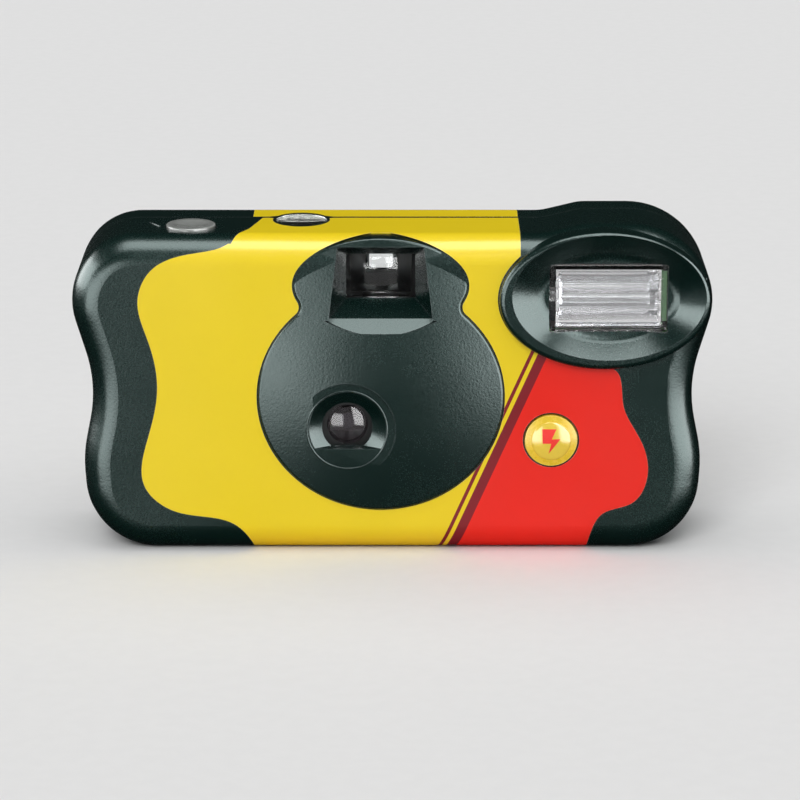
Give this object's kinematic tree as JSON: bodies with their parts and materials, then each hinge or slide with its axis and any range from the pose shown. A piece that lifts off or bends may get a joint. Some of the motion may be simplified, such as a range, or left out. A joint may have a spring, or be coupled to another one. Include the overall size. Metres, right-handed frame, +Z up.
{
  "type": "disposable film camera",
  "caption": "Flat single-use film camera with a pinched waist, domed lens panel, hooded viewfinder, oval flash housing, push buttons and a thumbwheel film advance.",
  "frame": {"origin": "centre of the bounding box's underside, on the resting face", "axes": "+X towards the flash, -Y out through the lens, +Z up through the viewfinder side"},
  "size_m": [0.1162, 0.0302, 0.0606],
  "materials": {
    "black_shell": "fine satin grain",
    "label_print": "satin printed film",
    "clear_plastic": "polished",
    "button_grey": "smooth, slightly cloudy",
    "charge_yellow": "smooth",
    "inner_black": "matt, anti-reflection",
    "lens_plastic": "polished",
    "thin_steel": "bright",
    "cassette_shell": "lacquered",
    "spool_plastic": "smooth",
    "film": "emulsion, satin",
    "wheel_plastic": "moulded, knurled",
    "dial_white": "printed",
    "board_laminate": "solder resist",
    "capacitor_sleeve": "shrunk sleeve",
    "copper_winding": "enamelled wire",
    "reflector_metal": "bright",
    "tube_glass": "polished",
    "lamp_glass": "polished",
    "battery_jacket": "printed sleeve, plain"
  },
  "bodies": {
    "camera": {"front_cover": "black_shell", "rear_cover": "black_shell", "front_label": "label_print", "rear_label": "label_print", "counter_window": "clear_plastic", "finder_front_lens": "clear_plastic", "finder_eyepiece": "clear_plastic", "main_frame": "inner_black", "shutter_plate": "inner_black", "lens_seat": "inner_black", "taking_lens": "lens_plastic", "lens_ring": "inner_black", "striker_spring": "thin_steel", "film_cassette": "cassette_shell", "film_strip": "film", "flash_window": "clear_plastic", "flash_reflector": "reflector_metal", "flash_tube": "tube_glass", "charge_switch": "thin_steel", "circuit_board": "board_laminate", "flash_capacitor": "capacitor_sleeve", "transformer": "copper_winding", "trigger_coil": "copper_winding", "ready_lamp": "lamp_glass", "light_pipe": "clear_plastic", "battery": "battery_jacket", "battery_contact_minus": "thin_steel", "battery_contact_plus": "thin_steel"},
    "release": {"release_button": "button_grey", "release_arm": "spool_plastic"},
    "charger": {"charge_button": "charge_yellow"},
    "winder": {"thumbwheel": "wheel_plastic", "cassette_spool": "spool_plastic"},
    "sprocket_drum": {"sprocket": "spool_plastic"},
    "counter": {"counter_dial": "dial_white"},
    "supply": {"supply_spool": "spool_plastic", "supply_roll": "film"},
    "striker_lever": {"striker": "thin_steel"},
    "blade": {"shutter_blade": "thin_steel"},
    "lock": {"wheel_lock": "spool_plastic"}
  },
  "joints": [
    {"name": "release_press", "type": "slide", "parent": "camera", "child": "release", "axis": [0, 0, -1], "range_m": [0, 0.0015], "stiffness_N_per_m": 900},
    {"name": "charge_press", "type": "slide", "parent": "camera", "child": "charger", "axis": [0, 1, 0], "range_m": [0, 0.001], "stiffness_N_per_m": 1200},
    {"name": "wheel_turn", "type": "hinge", "parent": "camera", "child": "winder", "pos_m": [-0.0405, 0.001, 0.0465], "axis": [0, 0, 1], "continuous": true},
    {"name": "sprocket_turn", "type": "hinge", "parent": "camera", "child": "sprocket_drum", "pos_m": [-0.02, 0.0046, 0.0369], "axis": [0, 0, 1], "continuous": true},
    {"name": "counter_turn", "type": "hinge", "parent": "camera", "child": "counter", "pos_m": [-0.0167, 0.0028, 0.0562], "axis": [0, 0, 1], "continuous": true},
    {"name": "supply_turn", "type": "hinge", "parent": "camera", "child": "supply", "pos_m": [0.0366, 0.00325, 0.0061], "axis": [0, 0, 1], "continuous": true},
    {"name": "striker_swing", "type": "hinge", "parent": "camera", "child": "striker_lever", "pos_m": [-0.0175, -0.0018, 0.0442], "axis": [0, 0, -1], "range_deg": [0, 24], "stiffness_Nm_per_rad": 0.0004},
    {"name": "blade_swing", "type": "hinge", "parent": "camera", "child": "blade", "pos_m": [-0.0125, -0.0072, 0.0334], "axis": [0, -1, 0], "range_deg": [0, 30]},
    {"name": "lock_swing", "type": "hinge", "parent": "camera", "child": "lock", "pos_m": [-0.023, -0.0054, 0.0476], "axis": [0, 0, -1], "range_deg": [0, 12], "stiffness_Nm_per_rad": 0.00004}
  ],
  "couplings": [
    {"joint": "sprocket_turn", "follows": "wheel_turn", "ratio": 0.9465},
    {"joint": "counter_turn", "follows": "wheel_turn", "ratio": -0.03155},
    {"joint": "supply_turn", "follows": "wheel_turn", "ratio": 0.6928},
    {"joint": "blade_swing", "follows": "striker_swing", "ratio": 1.25}
  ]
}
